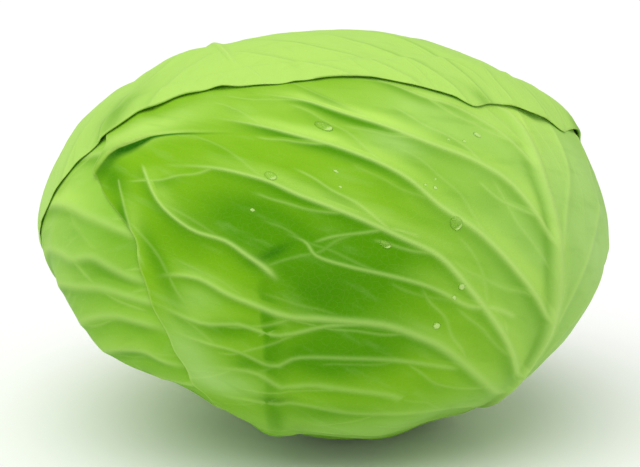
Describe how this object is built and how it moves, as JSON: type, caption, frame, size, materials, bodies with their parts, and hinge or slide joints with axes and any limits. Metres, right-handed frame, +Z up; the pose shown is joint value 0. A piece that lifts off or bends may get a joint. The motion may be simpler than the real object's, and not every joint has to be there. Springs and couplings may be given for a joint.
{
  "type": "cabbage head",
  "caption": "Flattened green cabbage head with waved, veined wrapper leaves laid over a dense heart and a cut stalk underneath, resting on its underside.",
  "frame": {"origin": "middle of the bounding box at its underside, on the surface that the head rests on", "axes": "+Z up; -Y towards the viewer of the picture; +X to the viewer's right, along the longest extent, and the cut stalk is underneath, towards +X"},
  "size_m": [0.2006, 0.1983, 0.1419],
  "materials": {
    "stalk": "matte, moist cut fibre",
    "inner_leaves": "waxy satin",
    "wrapper_leaves": "waxy satin"
  },
  "bodies": {
    "root": {"stalk": "stalk", "heart": "inner_leaves", "left_rear_leaf": "wrapper_leaves", "under_leaf": "wrapper_leaves", "right_rear_leaf": "wrapper_leaves", "left_leaf": "wrapper_leaves", "front_leaf": "wrapper_leaves", "cap_leaf": "wrapper_leaves"}
  },
  "joints": []
}
